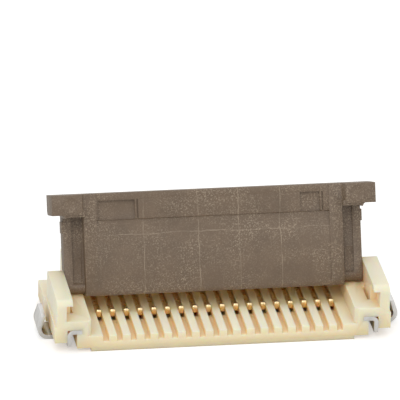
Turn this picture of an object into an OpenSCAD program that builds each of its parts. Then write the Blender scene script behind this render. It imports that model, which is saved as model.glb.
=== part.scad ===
// Flip-lock connector for a flat flexible cable: right angle, surface mount, bottom contact.
// X runs along the row of contacts, the cable enters from -Y, the solder tails leave at +Y
// and the circuit board is the plane z = 0. The origin is the middle of the housing's footprint.
// The lock lever is drawn open, as it stands ready for the cable. All sizes are in millimetres.

/* [Contact row] */
// Number of contacts
contact_count = 18; // [4:1:50]
// Spacing of the contacts
pitch = 0.5; // [0.5:0.05:1]
// Thickness of the contact sheet
contact_t = 0.18; // [0.12:0.01:0.22]
// Free space on each side of a contact in its slot
contact_gap = 0.02; // [0.01:0.01:0.03]

/* [Housing] */
// Depth of the housing, cable side to solder side
housing_d = 4.6; // [4.3:0.1:5.6]
// Top of the housing above the board
housing_h = 2.0; // [1.95:0.05:2.4]
// Height of the raised pad under the housing
pad_h = 0.14; // [0.05:0.01:0.15]
// Housing beyond the last contact, at the middle block
block_margin = 1.05; // [0.95:0.05:1.3]
// Housing beyond the last contact, over all
wing_margin = 1.85; // [1.75:0.05:2.2]
// Thickness of the two side walls
wall_t = 0.64; // [0.6:0.01:0.7]
// Length of the two side walls, from the cable side
wall_d = 2.7; // [2.6:0.1:2.9]
// Radius on the front top edge of a side wall
wall_r = 0.3; // [0.1:0.05:0.4]
// Top of the low shelf behind each side wall
shelf_z = 0.78; // [0.7:0.02:0.9]
// Step by which the side walls stand in from the shelf below them
wall_step = 0.06; // [0.02:0.01:0.08]
// Height of that step above the shelf
step_rise = 0.2; // [0.1:0.05:0.3]
// Thickness of the roof over the upper contact arms
roof_t = 0.12; // [0.1:0.01:0.2]
// Width of the slots that the solder tails stand in
tail_slot_w = 0.3; // [0.26:0.01:0.34]
// Recess of the rear face where the contacts stand
tail_recess = 0.28; // [0.2:0.02:0.4]
// Rear recess beyond the last contact
tail_margin = 0.2; // [0.15:0.05:0.3]

/* [Cable mouth] */
// Cable thickness at its stiffened end
film_t = 0.3; // [0.2:0.05:0.33]
// Height of the floor the cable slides on
floor_z = 0.6; // [0.55:0.05:0.65]
// Floor beyond the last contact
mouth_margin = 0.535; // [0.5:0.005:0.6]
// Depth of the cable mouth
mouth_d = 3.5; // [3.3:0.1:3.6]
// Depth of the contact slots in the front part of the floor
slot_shallow = 0.23; // [0.1:0.01:0.3]
// Distance from the cable side to the deep part of the slots
slot_deep_set = 1.77; // [1.5:0.01:1.8]
// Bevel on the inner front edges of the cable mouth
mouth_bevel = 0.1; // [0.05:0.05:0.2]

/* [Lock lever] */
// Angle by which the open lever leans back
lever_lean = 22.5; // [15:0.5:25]
// Hinge axis behind the cable side
pivot_set = 2.38; // [2.35:0.01:2.5]
// Hinge axis above the board
pivot_z = 1.42; // [1.4:0.01:1.45]
// Reach of the shut lever in front of the housing
lever_reach = 1.0; // [0.8:0.05:1.3]
// Lever beyond the last contact, at its ears
ear_margin = 1.65; // [1.4:0.05:1.75]
// Lever beyond the last contact, between the side walls
neck_margin = 1.19; // [1.05:0.01:1.19]
// Lever beyond the last contact, at the thick middle part
slab_margin = 0.47; // [0.4:0.01:0.5]
// Width of the two raised bands that press the cable's edges
band_w = 0.47; // [0.3:0.01:0.6]
// Height of the ears along the lever
ear_h = 0.725; // [0.6:0.025:0.8]
// Underside of the ears above the board when the lever is shut
ear_drop_z = 0.5; // [0.4:0.05:0.7]
// Bevel on the back lower edge of each ear
ear_bevel = 0.15; // [0.05:0.01:0.2]
// Radius of the round bar that the contacts hook over
bar_r = 0.17; // [0.15:0.01:0.18]
// Radius of the round end at the foot of the lever
foot_r = 0.2; // [0.18:0.01:0.24]
// Wall left in front of the hook pockets
skin_t = 0.15; // [0.12:0.01:0.16]
// Length of the hook pockets above the hinge axis
pocket_h = 0.8; // [0.78:0.01:0.95]
// Width of the hook pockets
pocket_w = 0.26; // [0.24:0.01:0.3]
// Depth of the finger dip below the pressing face
dip_depth = 0.1; // [0.05:0.01:0.15]
// Distance from the tip to the deepest line of the dip
dip_set = 0.98; // [0.9:0.02:1.1]
// Length of the slope from the pressing face into the dip
dip_slope = 0.53; // [0.3:0.01:0.7]
// Depth of the two windows near the tip
window_depth = 0.15; // [0.08:0.01:0.2]
// Length of the windows along the lever
window_h = 0.7; // [0.5:0.05:0.8]
// Width of the channel in front of each thin end
channel_w = 0.42; // [0.3:0.01:0.5]
// Depth of that channel
channel_depth = 0.1; // [0.05:0.01:0.12]
// Radius of the ejector pin marks on the ears
ejector_r = 0.3; // [0.2:0.02:0.34]
// How far each side nub stands out
nub_out = 0.05; // [0.02:0.01:0.06]

/* [Solder fittings] */
// Thickness of the fitting sheet
fitting_t = 0.15; // [0.1:0.01:0.18]
// Front edge of the solder foot behind the cable side
foot_set = 1.2; // [1:0.05:1.5]
// Depth of the solder foot
foot_d = 1.15; // [0.9:0.05:1.2]
// Fitting beyond the last contact, over all
fitting_margin = 2.32; // [2.2:0.01:2.7]
// Height of the bent-up outer tab
tab_h = 0.9; // [0.7:0.05:1]
// Depth of the fitting inside the housing
fitting_d = 3.0; // [2.6:0.1:3.2]

/* [Hidden] */
$fn = 48;
row_x = (contact_count - 1) * pitch / 2;     // last contact from the middle
front = -housing_d / 2;
rear = housing_d / 2;
block_x = row_x + block_margin;
wing_x = row_x + wing_margin;
wall_x = wing_x - wall_t;                    // inner face of a side wall
mouth_x = row_x + mouth_margin;
tail_x = row_x + tail_margin;
block_z = pad_h;                             // underside of the housing beside the pad
wing_front_z = block_z + 0.24;               // underside of the wings over the fittings
slot_w = contact_t + 2 * contact_gap;
slot_top = housing_h - roof_t;
slot_floor = 0.17;
mouth_top = floor_z + film_t + 0.06;
tail_front = rear - tail_recess;

spine_y = front + 3.75;                      // front edge of a contact's spine
spine_end = rear - 0.1;
tail_start = rear - 0.5;
tail_end = rear + 0.17;
tip_y = front + 1.95;                        // contact point
contact_z = floor_z + 0.15;

pivot_y = front + pivot_set;
play = 0.02;                                 // running clearance round the hinge
ledge_z = pivot_z - foot_r - play;           // ledges that the lever's round ends turn on

// Lever sizes in its own frame: hinge axis at the origin, tip towards +Z, back towards +Y
tip_u = pivot_set + lever_reach;
back_v = housing_h - pivot_z - play;
ear_v = ear_drop_z - pivot_z;
band_v = floor_z + film_t - pivot_z;
face_v = band_v + 0.04;                      // pressing face between the bands
end_v = ledge_z + 0.05 - pivot_z;            // thin ends that run over the ledges
foot_u = -0.3;
ear_x = row_x + ear_margin;
neck_x = row_x + neck_margin;
slab_x = row_x + slab_margin;
ear_inner_x = slab_x + 0.09;
hook_in = bar_r + play;                      // hook of a contact round the bar
hook_out = hook_in + 0.12;

leg_x = row_x + 1.4;                         // outer face of a fitting's leg
tongue_z = 0.85;                             // top of the tongue pushed into the housing
tongue_x = row_x + 0.87;
tab_x = row_x + fitting_margin;
leg_z = wing_front_z - 0.15;                 // lower edge of the leg in front of the foot

function contact_name(i) = str("contact_", i < 9 ? "0" : "", i + 1);

// Lays a profile drawn as (y, z) across the row, from x0 to x1
module across(x0, x1) {
    translate([x0, 0, 0])
        rotate([90, 0, 90])
            linear_extrude(x1 - x0)
                children();
}

module both_sides() {
    children();
    mirror([1, 0, 0])
        children();
}

module at_each_contact() {
    for (i = [0 : contact_count - 1])
        translate([i * pitch - row_x, 0, 0])
            children();
}

// A box between two corners
module block(from, to) {
    translate(from)
        cube(to - from);
}

// ---------------------------------------------------------------- housing

// Side wall seen from the side: square behind, rounded at the front top edge
module wall_profile(low) {
    top_z = housing_h;
    translate([front, low])
        square([wall_d, top_z - low - wall_r]);
    translate([front + wall_r, low])
        square([wall_d - wall_r, top_z - low]);
    translate([front + wall_r, top_z - wall_r])
        circle(wall_r);
}

// Front face of the roof: it leans as the open lever does and is its stop
module roof_profile() {
    stop_v = back_v + 0.03;
    low_z = mouth_top;
    function stop_y(z) = pivot_y + (stop_v + (z - pivot_z) * sin(lever_lean)) / cos(lever_lean);
    polygon([
        [stop_y(low_z), low_z],
        [stop_y(housing_h), housing_h],
        [rear, housing_h],
        [rear, low_z]
    ]);
}

module housing_body() {
    // raised pad, middle block and low wings
    block([-mouth_x, front, 0], [mouth_x, rear, block_z]);
    block([-block_x, front, block_z], [block_x, rear, mouth_top]);
    both_sides() {
        block([block_x, front, block_z], [wing_x, rear, shelf_z]);
        block([mouth_x, front, shelf_z], [wall_x, pivot_y + 0.6, ledge_z]);
        across(wall_x, wing_x)
            translate([front, block_z])
                square([wall_d, shelf_z + step_rise - block_z]);
        across(wall_x, wing_x - wall_step)
            wall_profile(block_z);
    }
    across(-block_x, block_x)
        roof_profile();
}

// Opening for the cable: floor, side bevels and the space under the roof
module cable_mouth() {
    block([-mouth_x, front - 1, floor_z], [mouth_x, front + mouth_d, mouth_top]);
    block([-mouth_x, front - 1, floor_z], [mouth_x, pivot_y + 0.3, housing_h + 1]);
    both_sides()
        translate([mouth_x, front, floor_z])
            rotate([0, 0, 45])
                translate([-mouth_bevel, -mouth_bevel, 0])
                    cube([2 * mouth_bevel, 2 * mouth_bevel, housing_h]);
}

// One contact slot: shallow in the lip, deep behind, through the roof block to the rear
module contact_slot() {
    half = slot_w / 2;
    deep_y = front + slot_deep_set;
    tail_half = tail_slot_w / 2;
    block([-half, front - 1, floor_z - slot_shallow], [half, deep_y + 0.1, mouth_top]);
    block([-half, deep_y, slot_floor], [half, rear + 1, slot_top]);
    block([-tail_half, tail_start - 0.06, -1], [tail_half, rear + 1, slot_top]);
}

// Recess in a side wall that the lever's nub springs into when it is shut
module wall_pocket() {
    block([wall_x - 0.1, front - 1, ledge_z], [wall_x + 0.23, front + 0.75, housing_h - 0.2]);
    block([wall_x - 0.1, front + 0.76, ledge_z - 0.3], [wall_x, front + 1.83, ledge_z + 0.1]);
}

// Room for a fitting: tongue and leg from the front, and the step over the solder foot
module fitting_room() {
    block([tongue_x, front - 1, tongue_z - fitting_t], [leg_x, front + fitting_d, tongue_z]);
    block([block_x, front - 1, -1], [leg_x, front + fitting_d, tongue_z]);
    block([block_x, front - 1, -1], [wing_x + 1, front + foot_set + foot_d + 0.05, wing_front_z]);
}

module housing() {
    color("cornsilk")
        difference() {
            housing_body();
            cable_mouth();
            at_each_contact()
                contact_slot();
            block([-tail_x, tail_front, -1], [tail_x, rear + 1, housing_h + 1]);
            both_sides() {
                wall_pocket();
                fitting_room();
            }
        }
}

// ---------------------------------------------------------------- contacts

// Points along an arc about (y, z), from angle a0 to a1
function arc(y, z, r, a0, a1, steps = 8) =
    [for (i = [0 : steps]) let (a = a0 + (a1 - a0) * i / steps) [y + r * cos(a), z + r * sin(a)]];

// Stamped outline of a contact as (y, z)
module contact_profile() {
    tip_r = 0.09;
    heel_r = 0.2;
    crown_r = 0.25;
    nick_z = 0.76;
    arm_z = pivot_z + hook_in;
    hook_end = 205;
    // inside of the hook, underside of the upper arm and front edge of the spine
    throat = concat(
        arc(pivot_y, pivot_z, hook_in, hook_end, 90),
        arc(spine_y - 0.2, arm_z - 0.2, 0.2, 90, 0),
        arc(spine_y - 0.15, 0.62, 0.15, 0, -90)
    );
    // spring arm, out over its contact point and back below
    spring = concat(
        [[tip_y + 0.36, 0.54], [tip_y + 0.16, contact_z - 0.07]],
        arc(tip_y, contact_z - tip_r, tip_r, 40, 180),
        [[tip_y - tip_r, contact_z - 0.3], [tip_y + 0.15, contact_z - 0.35]],
        [[spine_y - 0.4, slot_floor + 0.08], [spine_y - 0.15, slot_floor]]
    );
    // solder tail with its rounded heel and the nick left by the carrier strip
    tail = concat(
        [[tail_start, slot_floor], [tail_start, 0.05], [tail_start + 0.05, 0]],
        arc(tail_end - heel_r, heel_r, heel_r, 270, 360),
        [[tail_end, nick_z], [tail_end - 0.06, nick_z]],
        [[tail_end - 0.06, nick_z + 0.06], [spine_end, nick_z + 0.06]]
    );
    // rounded crown of the spine, top of the upper arm and outside of the hook
    crown = concat(
        arc(spine_end - crown_r, slot_top - crown_r, crown_r, 0, 90),
        [[pivot_y + 0.5, slot_top]],
        arc(pivot_y, pivot_z, hook_out, 70, hook_end)
    );
    polygon(concat(throat, spring, tail, crown));
}

module contact(i) {
    color("goldenrod")
        translate([i * pitch - row_x, 0, 0])
            across(-contact_t / 2, contact_t / 2)
                contact_profile();
}

// ---------------------------------------------------------------- solder fittings

// Bent strip seen from the cable side as (x, z), on the right: leg, foot and curled tab
module foot_section() {
    heel = 0.25;
    curl = 0.4;
    lean = 18;
    heel_x = leg_x - fitting_t + heel;
    curl_x = tab_x - curl;
    top = [curl_x + curl * cos(lean), curl + curl * sin(lean)];
    rise = tab_h - top[1];
    tip = [top[0] - rise * tan(lean), tab_h];
    polygon(concat(
        [[leg_x - fitting_t, tongue_z - 0.2]],
        arc(heel_x, heel, heel, 180, 270, 6),
        arc(curl_x, curl, curl, -90, lean, 10),
        [tip, tip - [fitting_t, 0]],
        arc(curl_x, curl, curl - fitting_t, lean, -90, 10),
        arc(heel_x, heel, heel - fitting_t, 270, 180, 6),
        [[leg_x, tongue_z - 0.2]]
    ));
}

// Tongue in the housing, bend and leg as (x, z), down to the height low
module leg_section(low) {
    bend = 0.22;
    bend_x = leg_x - bend;
    bend_z = tongue_z - bend;
    polygon(concat(
        [[tongue_x, tongue_z - fitting_t], [tongue_x, tongue_z]],
        arc(bend_x, bend_z, bend, 90, 0, 6),
        [[leg_x, low], [leg_x - fitting_t, low]],
        arc(bend_x, bend_z, bend - fitting_t, 0, 90, 6)
    ));
}

// Extrudes a profile drawn as (x, z) along y
module along(y0, y1) {
    translate([0, y1, 0])
        rotate([90, 0, 0])
            linear_extrude(y1 - y0)
                children();
}

module fitting() {
    foot_y = front + foot_set;
    along(front, front + fitting_d)
        leg_section(leg_z);
    along(foot_y, foot_y + foot_d)
        foot_section();
}

module fitting_right() {
    color("silver")
        fitting();
}

module fitting_left() {
    color("silver")
        mirror([1, 0, 0])
            fitting();
}

// ---------------------------------------------------------------- lock lever

// Thick middle part as (y, z) in the lever's own frame
module slab_profile() {
    polygon([
        [band_v, -0.04], [band_v, tip_u], [back_v, tip_u], [back_v, -0.18],
        [back_v - 0.12, foot_u], [band_v + 0.13, foot_u]
    ]);
}

module end_profile(front_v) {
    polygon([[front_v, 0], [front_v, tip_u], [back_v, tip_u], [back_v, 0], [0.1, -foot_r + 0.02]]);
    circle(foot_r);
}

// What is cut from the face between the bands: pressing face, finger dip and tip
module face_cut() {
    dip_u = tip_u - dip_set;
    polygon([
        [band_v - 1, foot_u - 1], [face_v, foot_u - 1], [face_v, dip_u - dip_slope],
        [face_v + dip_depth, dip_u], [face_v + 0.03, dip_u + 0.03], [face_v + 0.03, tip_u + 1],
        [band_v - 1, tip_u + 1]
    ]);
}

// Bare sunk window in the face, with a rib left standing beside it
module window(x0, x1) {
    low_u = tip_u - dip_set + 0.02;
    rib_w = 0.06;
    block([x0, band_v - 1, low_u], [x1, face_v + window_depth, low_u + window_h]);
    block([x1 + rib_w, band_v - 1, low_u - 0.04], [x1 + 2 * rib_w, face_v + 0.08, low_u + window_h]);
}

// Pocket for one contact's hook, open to the back and the foot, crossed by the round bar
module hook_pocket() {
    skin_v = band_v + skin_t;
    difference() {
        block([-pocket_w / 2, skin_v, foot_u - 1], [pocket_w / 2, back_v + 1, pocket_h]);
        across(-pocket_w, pocket_w)
            circle(bar_r);
    }
}

// Ear at the tip, on the right: bevelled towards the band, with a shoulder above the thin end
module ear() {
    low_u = tip_u - ear_h;
    shoulder = 0.08;
    fillet = 0.12;
    difference() {
        union() {
            translate([0, 0, low_u])
                linear_extrude(ear_h)
                    polygon([
                        [slab_x, band_v], [ear_inner_x, ear_v], [ear_x, ear_v],
                        [ear_x, back_v], [slab_x, back_v]
                    ]);
            block([slab_x, ear_v + 0.06, low_u - shoulder], [neck_x, back_v, low_u + 0.1]);
        }
        across(neck_x, ear_x + 1)
            polygon([
                [back_v - ear_bevel, low_u - 0.01], [back_v + 0.01, low_u + ear_bevel],
                [back_v + 0.01, low_u - 0.01]
            ]);
    }
    // fillet under the ear
    translate([neck_x, back_v - ear_bevel, low_u])
        rotate([90, 0, 0])
            linear_extrude(back_v - ear_bevel - ear_v - 0.06)
                difference() {
                    translate([-0.05, -fillet])
                        square([fillet + 0.05, fillet + 0.05]);
                    translate([fillet, -fillet])
                        circle(fillet);
                }
    // ring left by the ejector pin
    translate([neck_x - 0.2, ear_v + 0.02, tip_u - 0.36])
        rotate([90, 0, 0])
            difference() {
                cylinder(h = 0.035, r = ejector_r);
                translate([0, 0, -1])
                    cylinder(h = 2, r = ejector_r - 0.03);
            }
}

// Thin end on the right, with the channel in front and the line of a mould insert on its floor
module thin_end() {
    channel_end = slab_x + channel_w;
    floor_v = end_v + channel_depth;
    line = 0.025;
    across(slab_x, channel_end)
        end_profile(floor_v);
    across(channel_end, neck_x)
        end_profile(end_v);
    block([neck_x, end_v, tip_u - 1.39], [neck_x + nub_out, 0.35, tip_u - 0.97]);
    difference() {
        block([channel_end - 0.32, floor_v - 0.012, 0.05], [channel_end, floor_v + 0.05, 1.08]);
        block([channel_end - 0.32 + line, floor_v - 1, 0.05 + line], [neck_x, floor_v + 1, 1.08 - line]);
    }
}

module lever_body() {
    difference() {
        across(-slab_x, slab_x)
            slab_profile();
        across(-slab_x + band_w, slab_x - band_w)
            face_cut();
        window(-slab_x + band_w + 0.06, -slab_x + band_w + 1.42);
        window(slab_x - band_w - 1.05, slab_x - band_w - 0.32);
        at_each_contact()
            hook_pocket();
    }
    both_sides() {
        thin_end();
        ear();
    }
}

module lever() {
    color("dimgray")
        translate([0, pivot_y, pivot_z])
            rotate([-lever_lean, 0, 0])
                lever_body();
}

housing();
lever();
fitting_left();
fitting_right();
for (i = [0 : contact_count - 1])
    contact(i);
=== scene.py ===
"""Finish and studio for a flip-lock connector for a flat flexible cable.

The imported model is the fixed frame. Each operator finishes one piece or one group of like pieces:
the mouldings get their small edge radii and plastic, the sheet metal parts their plating, and the
last operator sets the stage.
"""

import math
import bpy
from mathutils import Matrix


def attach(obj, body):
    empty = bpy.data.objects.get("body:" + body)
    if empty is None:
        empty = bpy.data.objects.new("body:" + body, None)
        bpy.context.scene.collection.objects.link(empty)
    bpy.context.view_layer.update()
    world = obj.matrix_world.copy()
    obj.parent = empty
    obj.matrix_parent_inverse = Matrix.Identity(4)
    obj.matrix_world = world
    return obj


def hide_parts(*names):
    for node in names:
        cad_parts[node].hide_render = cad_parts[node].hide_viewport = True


bl_info = {
    "name": "Flat cable connector finish",
    "version": (1, 0, 0),
    "blender": (4, 5, 0),
    "location": "3D View > Sidebar > Connector",
    "description": "Finishes the mouldings, contacts and fittings of a flat cable connector",
    "category": "Object",
}

import bpy
from bpy.props import FloatProperty, FloatVectorProperty, PointerProperty
from bpy.types import Operator, Panel, PropertyGroup
from mathutils import Matrix, Vector

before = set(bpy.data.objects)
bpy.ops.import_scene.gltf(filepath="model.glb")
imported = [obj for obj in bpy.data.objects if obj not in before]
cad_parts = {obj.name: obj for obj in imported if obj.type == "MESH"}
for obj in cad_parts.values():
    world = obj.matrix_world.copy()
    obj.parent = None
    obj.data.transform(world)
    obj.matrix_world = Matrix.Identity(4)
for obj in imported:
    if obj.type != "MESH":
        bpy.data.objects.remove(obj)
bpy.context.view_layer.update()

MM = 0.001
BASE = "base"
FLIP_LOCK = "flip_lock"
CONTACTS = sorted(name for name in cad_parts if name.startswith("contact_"))

# Places on the open lever where the mould's inserts met and where its face creases; pale lines of
# painted highlight are drawn there
LEVER_FACE_X = 4.25 * MM
LEVER_CREASE_Z = 3.33 * MM
LEVER_SEAMS = (-2.56 * MM, -0.55 * MM, 0.95 * MM, 2.44 * MM)
LINE_WIDTH = 0.018 * MM
LINE_WAVER = 0.05 * MM

# Edge radius of the stamped parts, as plating leaves it
CONTACT_EDGE = 0.03 * MM
FITTING_EDGE = 0.012 * MM

# Small turns of the camera that set the connector low in the picture
VIEW_RAISE = math.radians(0.795)
VIEW_TURN = math.radians(0.118)


# ---------------------------------------------------------------- sizes and colours


class HousingSettings(PropertyGroup):
    """Cream moulding that holds everything."""

    colour: FloatVectorProperty(
        name="Colour",
        description="Colour of the cream plastic",
        default=(0.86, 0.81, 0.63),
        size=3,
        min=0.0,
        max=1.0,
        subtype="COLOR",
    )
    # Colour of the painted shade laid into the housing's recesses, in the cable mouth most of all
    painted_shade_colour: FloatVectorProperty(
        name="Enclosed colour",
        description="Colour of the cream plastic deep in the cable mouth",
        default=(0.90, 0.66, 0.36),
        size=3,
        min=0.0,
        max=1.0,
        subtype="COLOR",
    )
    edge_radius: FloatProperty(
        name="Edge radius",
        description="Radius on the edges of the moulding",
        default=0.022 * MM,
        precision=6,
        unit="LENGTH",
    )
    roughness: FloatProperty(
        name="Roughness",
        description="How matt the plastic is",
        default=0.42,
        min=0.0,
        max=1.0,
        subtype="FACTOR",
    )


class LeverSettings(PropertyGroup):
    """Mottled lock lever."""

    colour: FloatVectorProperty(
        name="Colour",
        description="Main colour of the lever",
        default=(0.150, 0.103, 0.066),
        size=3,
        min=0.0,
        max=1.0,
        subtype="COLOR",
    )
    fibre_colour: FloatVectorProperty(
        name="Fibre colour",
        description="Colour of the glass fibres that show at the surface",
        default=(0.35, 0.28, 0.20),
        size=3,
        min=0.0,
        max=1.0,
        subtype="COLOR",
    )
    edge_radius: FloatProperty(
        name="Edge radius",
        description="Radius on the edges of the lever",
        default=0.02 * MM,
        precision=6,
        unit="LENGTH",
    )


class MetalSettings(PropertyGroup):
    """Plated sheet parts."""

    gold: FloatVectorProperty(
        name="Gold",
        description="Colour of the contacts' plating",
        default=(0.95, 0.74, 0.42),
        size=3,
        min=0.0,
        max=1.0,
        subtype="COLOR",
    )
    tin: FloatVectorProperty(
        name="Tin",
        description="Colour of the solder fittings' plating",
        default=(0.74, 0.73, 0.71),
        size=3,
        min=0.0,
        max=1.0,
        subtype="COLOR",
    )


class StageSettings(PropertyGroup):
    """Camera, floor and lamps."""

    azimuth: FloatProperty(
        name="Azimuth",
        description="Where the camera stands round the connector",
        default=math.radians(-9.51),
        subtype="ANGLE",
    )
    elevation: FloatProperty(
        name="Elevation",
        description="How high the camera looks down from",
        default=math.radians(24.88),
        subtype="ANGLE",
    )
    roll: FloatProperty(
        name="Roll",
        description="Tilt of the camera about its own line of sight",
        default=math.radians(1.38),
        subtype="ANGLE",
    )
    distance: FloatProperty(
        name="Distance",
        description="Camera to the middle of the housing",
        default=243.0 * MM,
        unit="LENGTH",
    )
    lens: FloatProperty(
        name="Focal length",
        description="Focal length of the lens in millimetres, on a 36 mm wide frame",
        default=604.5,
    )


# ---------------------------------------------------------------- shared steps


def deselect_all():
    if bpy.context.mode != "OBJECT":
        bpy.ops.object.mode_set(mode="OBJECT")
    bpy.ops.object.select_all(action="DESELECT")


def select_only(piece):
    deselect_all()
    piece.select_set(True)
    bpy.context.view_layer.objects.active = piece


def joined_copy(node, name):
    """A copy of a CAD node's mesh with its loose triangles merged into plain faces."""
    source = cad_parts[node]
    piece = source.copy()
    piece.data = source.data.copy()
    piece.name = name
    piece.data.name = name
    bpy.context.scene.collection.objects.link(piece)
    piece.data.materials.clear()
    select_only(piece)
    bpy.ops.object.mode_set(mode="EDIT")
    bpy.ops.mesh.select_all(action="SELECT")
    bpy.ops.mesh.remove_doubles(threshold=0.0001 * MM)
    bpy.ops.mesh.dissolve_limited(angle_limit=math.radians(0.5))
    bpy.ops.object.mode_set(mode="OBJECT")
    return piece


def round_edges(piece, radius, segments=2, edge_slot=0):
    """Rounds every sharp edge of a piece."""
    select_only(piece)
    bpy.ops.object.modifier_add(type="BEVEL")
    bevel = piece.modifiers[-1]
    bevel.width = radius
    bevel.segments = segments
    bevel.limit_method = "ANGLE"
    bevel.angle_limit = math.radians(30)
    bevel.miter_outer = "MITER_ARC"
    bevel.use_clamp_overlap = True
    bevel.material = edge_slot
    bpy.ops.object.modifier_apply(modifier=bevel.name)
    bpy.ops.object.shade_smooth_by_angle(angle=math.radians(35))


def paint(piece, *materials):
    piece.data.materials.clear()
    for material in materials:
        piece.data.materials.append(material)


class Plan:
    """A material under construction, with short ways to add its nodes."""

    def __init__(self, name):
        self.material = bpy.data.materials.new(name)
        self.material.use_nodes = True
        self.tree = self.material.node_tree
        self.shader = self.tree.nodes["Principled BSDF"]
        self.place = self.add("ShaderNodeTexCoord").outputs["Object"]

    def add(self, kind, **values):
        node = self.tree.nodes.new(kind)
        for key, value in values.items():
            setattr(node, key, value)
        return node

    def link(self, source, target):
        self.tree.links.new(source, target)

    def noise(self, size, detail=4.0, rough=0.55):
        """Noise whose lumps are about `size` metres across."""
        noise = self.add("ShaderNodeTexNoise")
        noise.inputs["Scale"].default_value = 1.0 / size
        noise.inputs["Detail"].default_value = detail
        noise.inputs["Roughness"].default_value = rough
        self.link(self.place, noise.inputs["Vector"])
        return noise.outputs["Fac"]

    def steps(self, source, *stops):
        """A colour ramp through (position, colour) stops."""
        ramp = self.add("ShaderNodeValToRGB")
        elements = ramp.color_ramp.elements
        while len(elements) > len(stops):
            elements.remove(elements[-1])
        while len(elements) < len(stops):
            elements.new(1.0)
        for element, (position, colour) in zip(elements, stops):
            element.position = position
            element.color = (*colour, 1.0)
        self.link(source, ramp.inputs["Fac"])
        return ramp.outputs["Color"]

    def spread(self, source, low, high, to_low, to_high):
        """Maps a value from one range to another."""
        node = self.add("ShaderNodeMapRange")
        node.inputs["From Min"].default_value = low
        node.inputs["From Max"].default_value = high
        node.inputs["To Min"].default_value = to_low
        node.inputs["To Max"].default_value = to_high
        self.link(source, node.inputs["Value"])
        return node.outputs["Result"]

    def math(self, operation, *sources):
        """A Math node fed with outputs of other nodes or with plain numbers."""
        node = self.add("ShaderNodeMath", operation=operation)
        for source, socket in zip(sources, node.inputs):
            if isinstance(source, float):
                socket.default_value = source
            else:
                self.link(source, socket)
        return node.outputs[0]

    def line(self, coordinate, place, width):
        """1 on a thin wavering line where a coordinate has the value `place`, 0 elsewhere."""
        offset = self.math("SUBTRACT", coordinate, place)
        waver = self.spread(self.noise(1.4 * MM, detail=3.0), 0.3, 0.7, -LINE_WAVER, LINE_WAVER)
        distance = self.math("ABSOLUTE", self.math("ADD", offset, waver))
        return self.spread(distance, width * 0.4, width, 1.0, 0.0)

    def insert_line_highlights(self):
        """Painted highlight lines on the lever's face, where the mould's inserts met and where the
        face creases, between its raised bands.
        """
        axes = self.add("ShaderNodeSeparateXYZ")
        self.link(self.place, axes.inputs[0])
        lines = self.line(axes.outputs["Z"], LEVER_CREASE_Z, LINE_WIDTH)
        for place in LEVER_SEAMS:
            seam = self.line(axes.outputs["X"], place, LINE_WIDTH)
            lines = self.math("MAXIMUM", lines, seam)
        reach = self.math("ABSOLUTE", axes.outputs["X"])
        inside = self.spread(reach, LEVER_FACE_X - LINE_WIDTH, LEVER_FACE_X, 1.0, 0.0)
        faint = self.spread(self.noise(0.6 * MM), 0.40, 0.60, 0.15, 0.65)
        return self.math("MULTIPLY", self.math("MULTIPLY", lines, inside), faint)

    def blend(self, factor, first, second):
        mix = self.add("ShaderNodeMix", data_type="RGBA")
        self.link(factor, mix.inputs["Factor"])
        self.link(first, mix.inputs[6])
        self.link(second, mix.inputs[7])
        return mix.outputs[2]

    def bump(self, height, depth, strength=1.0):
        bump = self.add("ShaderNodeBump")
        bump.inputs["Distance"].default_value = depth
        bump.inputs["Strength"].default_value = strength
        self.link(height, bump.inputs["Height"])
        self.link(bump.outputs["Normal"], self.shader.inputs["Normal"])


def scaled(colour, factor):
    return tuple(min(1.0, channel * factor) for channel in colour)


# ---------------------------------------------------------------- materials


def cream_plastic(settings):
    """Translucent cream plastic, with a warm painted shade where it is enclosed."""
    plan = Plan("cream moulded plastic")
    colour = tuple(settings.colour)
    cloud = plan.noise(1.6 * MM, detail=2.0)
    open_colour = plan.steps(cloud, (0.3, scaled(colour, 0.96)), (0.7, scaled(colour, 1.03)))
    # Painted shade: recesses found by ambient occlusion take the warm colour that interreflection
    # gives there
    painted_shade_rgb = plan.add("ShaderNodeRGB").outputs["Color"]
    painted_shade_rgb.default_value = (*settings.painted_shade_colour, 1.0)
    enclosed = plan.add("ShaderNodeAmbientOcclusion", samples=8)
    enclosed.inputs["Distance"].default_value = 2.2 * MM
    painted_shade_share = plan.spread(enclosed.outputs["AO"], 0.30, 0.90, 1.0, 0.0)
    plan.link(plan.blend(painted_shade_share, open_colour, painted_shade_rgb), plan.shader.inputs["Base Color"])
    grain = plan.noise(0.05 * MM, detail=3.0)
    plan.link(
        plan.spread(grain, 0.3, 0.7, settings.roughness - 0.06, settings.roughness + 0.08),
        plan.shader.inputs["Roughness"],
    )
    plan.shader.subsurface_method = "RANDOM_WALK"
    plan.shader.inputs["Subsurface Weight"].default_value = 0.65
    plan.shader.inputs["Subsurface Radius"].default_value = (1.0, 0.60, 0.25)
    plan.shader.inputs["Subsurface Scale"].default_value = 0.60 * MM
    plan.shader.inputs["IOR"].default_value = 1.5
    plan.bump(grain, 0.002 * MM, 0.5)
    return plan.material


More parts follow.
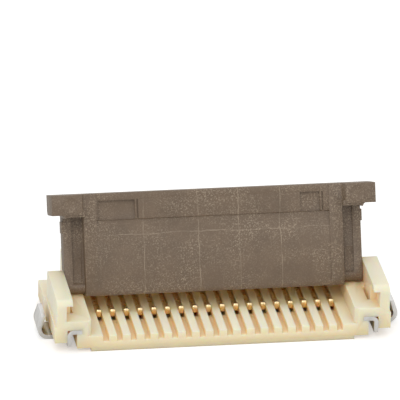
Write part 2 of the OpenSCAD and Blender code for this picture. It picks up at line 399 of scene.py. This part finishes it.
def mottled_plastic(settings, name="mottled lever plastic", highlight_lift=1.0):
    """Brown-grey plastic with pale fibres at its surface, and painted highlight along the fine lines
    of the mould's inserts and the face's crease.
    """
    plan = Plan(name)
    # Lifting the colours above 1 gives a lighter copy of this plastic, used as painted highlight on
    # the rounded edges
    colour = scaled(settings.colour, highlight_lift)
    fibre = scaled(settings.fibre_colour, highlight_lift)
    cloud = plan.noise(0.9 * MM, detail=3.0)
    base = plan.steps(cloud, (0.30, scaled(colour, 0.88)), (0.72, scaled(colour, 1.12)))
    specks = plan.noise(0.055 * MM, detail=5.0, rough=0.8)
    patch = plan.noise(1.3 * MM, detail=2.0)
    amount = plan.spread(patch, 0.36, 0.64, 0.18, 0.80)
    share = plan.math("MULTIPLY", plan.spread(specks, 0.51, 0.60, 0.0, 1.0), amount)
    pale = plan.steps(specks, (0.0, fibre), (1.0, scaled(fibre, 1.2)))
    speckled = plan.blend(share, base, pale)
    # Painted highlight: pale lines where the inserts' ridges and the face's crease would catch the
    # light
    lines = plan.insert_line_highlights()
    plan.link(plan.blend(lines, speckled, pale), plan.shader.inputs["Base Color"])
    plan.link(plan.spread(specks, 0.3, 0.7, 0.42, 0.60), plan.shader.inputs["Roughness"])
    plan.bump(specks, 0.004 * MM, 0.6)
    return plan.material


def plated_metal(name, colour, roughness):
    plan = Plan(name)
    cloud = plan.noise(0.25 * MM, detail=4.0)
    plan.link(
        plan.steps(cloud, (0.3, scaled(colour, 0.86)), (0.7, scaled(colour, 1.06))),
        plan.shader.inputs["Base Color"],
    )
    plan.link(
        plan.spread(cloud, 0.3, 0.7, roughness - 0.05, roughness + 0.08),
        plan.shader.inputs["Roughness"],
    )
    plan.shader.inputs["Metallic"].default_value = 1.0
    plan.bump(plan.noise(0.04 * MM), 0.001 * MM, 0.5)
    return plan.material


# ---------------------------------------------------------------- operators


class CONNECTOR_OT_housing(Operator):
    """Round the edges of the cream housing and give it its plastic"""

    bl_idname = "connector.housing"
    bl_label = "Housing"

    def execute(self, context):
        settings = context.scene.connector_housing
        piece = joined_copy("housing", "housing_moulding")
        round_edges(piece, settings.edge_radius)
        paint(piece, cream_plastic(settings))
        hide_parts("housing")
        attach(piece, BASE)
        return {"FINISHED"}


class CONNECTOR_OT_lever(Operator):
    """Round the edges of the lock lever and give it its mottled plastic, with a lighter copy on the
    rounds as painted highlight
    """

    bl_idname = "connector.lever"
    bl_label = "Lock lever"

    def execute(self, context):
        settings = context.scene.connector_lever
        piece = joined_copy("lever", "lever_moulding")
        # The bevel faces take the second, lighter material: a painted highlight along every rounded
        # edge
        paint(piece, mottled_plastic(settings), mottled_plastic(settings, "lever edge highlight", 1.55))
        round_edges(piece, settings.edge_radius, edge_slot=1)
        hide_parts("lever")
        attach(piece, FLIP_LOCK)
        return {"FINISHED"}


class CONNECTOR_OT_contacts(Operator):
    """Break the stamped edges of the contacts and plate them with gold"""

    bl_idname = "connector.contacts"
    bl_label = "Contacts"

    def execute(self, context):
        settings = context.scene.connector_metal
        gold = plated_metal("gold plate", tuple(settings.gold), 0.28)
        for node in CONTACTS:
            piece = joined_copy(node, node + "_plated")
            round_edges(piece, CONTACT_EDGE)
            paint(piece, gold)
            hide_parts(node)
            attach(piece, BASE)
        return {"FINISHED"}


class CONNECTOR_OT_fittings(Operator):
    """Break the edges of the two solder fittings and plate them with tin"""

    bl_idname = "connector.fittings"
    bl_label = "Solder fittings"

    def execute(self, context):
        settings = context.scene.connector_metal
        tin = plated_metal("tin plate", tuple(settings.tin), 0.34)
        for node in ("fitting_left", "fitting_right"):
            piece = joined_copy(node, node + "_plated")
            round_edges(piece, FITTING_EDGE)
            paint(piece, tin)
            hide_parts(node)
            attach(piece, BASE)
        return {"FINISHED"}


class CONNECTOR_OT_stage(Operator):
    """Set the floor, the lamps and the camera"""

    bl_idname = "connector.stage"
    bl_label = "Stage"

    def execute(self, context):
        settings = context.scene.connector_stage
        context.scene.view_settings.view_transform = "Standard"
        self.add_floor()
        self.set_world(context)
        self.add_lamps()
        self.add_camera(context, settings)
        return {"FINISHED"}

    def add_floor(self):
        deselect_all()
        bpy.ops.mesh.primitive_plane_add(size=2.0, location=(0, 0, 0))
        floor = bpy.context.active_object
        floor.name = "floor"
        material = bpy.data.materials.new("white floor")
        material.use_nodes = True
        tree = material.node_tree
        nodes = tree.nodes
        nodes.clear()
        diffuse = nodes.new("ShaderNodeBsdfDiffuse")
        diffuse.inputs["Color"].default_value = (0.80, 0.80, 0.79, 1)
        glow = nodes.new("ShaderNodeEmission")
        glow.inputs["Color"].default_value = (1, 1, 1, 1)
        path = nodes.new("ShaderNodeLightPath")
        strength = nodes.new("ShaderNodeMath")
        strength.operation = "MULTIPLY"
        strength.inputs[1].default_value = 0.40
        tree.links.new(path.outputs["Is Camera Ray"], strength.inputs[0])
        tree.links.new(strength.outputs[0], glow.inputs["Strength"])
        both = nodes.new("ShaderNodeAddShader")
        tree.links.new(diffuse.outputs[0], both.inputs[0])
        tree.links.new(glow.outputs[0], both.inputs[1])
        out = nodes.new("ShaderNodeOutputMaterial")
        tree.links.new(both.outputs[0], out.inputs["Surface"])
        floor.data.materials.append(material)

    def set_world(self, context):
        world = bpy.data.worlds.new("soft white room")
        context.scene.world = world
        world.use_nodes = True
        tree = world.node_tree
        background = tree.nodes["Background"]
        background.inputs["Color"].default_value = (1, 1, 1, 1)
        path = tree.nodes.new("ShaderNodeLightPath")
        seen = tree.nodes.new("ShaderNodeMath")
        seen.operation = "MAXIMUM"
        tree.links.new(path.outputs["Is Camera Ray"], seen.inputs[0])
        tree.links.new(path.outputs["Is Glossy Ray"], seen.inputs[1])
        strength = tree.nodes.new("ShaderNodeMapRange")
        strength.inputs["To Min"].default_value = 0.62
        strength.inputs["To Max"].default_value = 1.0
        tree.links.new(seen.outputs[0], strength.inputs["Value"])
        tree.links.new(strength.outputs["Result"], background.inputs["Strength"])

    def add_lamps(self):
        lamps = (
            ("key lamp", (-0.10, -0.16, 0.20), 0.16, 0.20),
            ("fill lamp", (0.16, -0.14, 0.10), 0.18, 0.06),
            ("top lamp", (0.02, 0.06, 0.24), 0.16, 0.10),
        )
        for name, place, size, watts in lamps:
            deselect_all()
            bpy.ops.object.light_add(type="AREA", location=place)
            lamp = bpy.context.active_object
            lamp.name = name
            lamp.data.size = size
            lamp.data.energy = watts
            aim = Vector((0, 0, 0.002)) - Vector(place)
            lamp.rotation_euler = aim.to_track_quat("-Z", "Y").to_euler()

    def add_camera(self, context, settings):
        """Looks past the middle of the housing, so that it stands low in the picture."""
        azimuth, elevation = settings.azimuth, settings.elevation
        target = Vector((0, 0, 1.0 * MM))
        back = Vector(
            (
                math.sin(azimuth) * math.cos(elevation),
                -math.cos(azimuth) * math.cos(elevation),
                math.sin(elevation),
            )
        )
        deselect_all()
        bpy.ops.object.camera_add(location=target + back * settings.distance)
        camera = bpy.context.active_object
        camera.name = "camera"
        camera.data.lens = settings.lens
        camera.data.sensor_width = 36.0
        camera.data.clip_start = 0.01
        camera.data.clip_end = 2.0
        level = (-back).to_track_quat("-Z", "Y").to_matrix().to_4x4()
        roll = Matrix.Rotation(settings.roll, 4, "Z")
        raise_view = Matrix.Rotation(VIEW_RAISE, 4, "X")
        turn_view = Matrix.Rotation(VIEW_TURN, 4, "Y")
        place = Matrix.Translation(camera.location)
        camera.matrix_world = place @ level @ roll @ raise_view @ turn_view
        context.scene.camera = camera


class CONNECTOR_PT_panel(Panel):
    """Buttons that finish the connector"""

    bl_idname = "CONNECTOR_PT_panel"
    bl_label = "Flat cable connector"
    bl_space_type = "VIEW_3D"
    bl_region_type = "UI"
    bl_category = "Connector"

    def draw(self, context):
        scene = context.scene
        groups = (
            (scene.connector_housing, (CONNECTOR_OT_housing,)),
            (scene.connector_lever, (CONNECTOR_OT_lever,)),
            (scene.connector_metal, (CONNECTOR_OT_contacts, CONNECTOR_OT_fittings)),
            (scene.connector_stage, (CONNECTOR_OT_stage,)),
        )
        for settings, operators in groups:
            box = self.layout.box()
            for key in settings.__annotations__:
                box.prop(settings, key)
            for operator in operators:
                box.operator(operator.bl_idname)


SETTINGS = {
    "connector_housing": HousingSettings,
    "connector_lever": LeverSettings,
    "connector_metal": MetalSettings,
    "connector_stage": StageSettings,
}
OPERATORS = (
    CONNECTOR_OT_housing,
    CONNECTOR_OT_lever,
    CONNECTOR_OT_contacts,
    CONNECTOR_OT_fittings,
    CONNECTOR_OT_stage,
)
CLASSES = (*SETTINGS.values(), *OPERATORS, CONNECTOR_PT_panel)


def register():
    for one in CLASSES:
        bpy.utils.register_class(one)
    for name, group in SETTINGS.items():
        setattr(bpy.types.Scene, name, PointerProperty(type=group))


def unregister():
    for name in SETTINGS:
        delattr(bpy.types.Scene, name)
    for one in reversed(CLASSES):
        bpy.utils.unregister_class(one)


def main():
    register()
    bpy.ops.connector.housing()
    bpy.ops.connector.lever()
    bpy.ops.connector.contacts()
    bpy.ops.connector.fittings()
    bpy.ops.connector.stage()


if __name__ == "__main__":
    main()
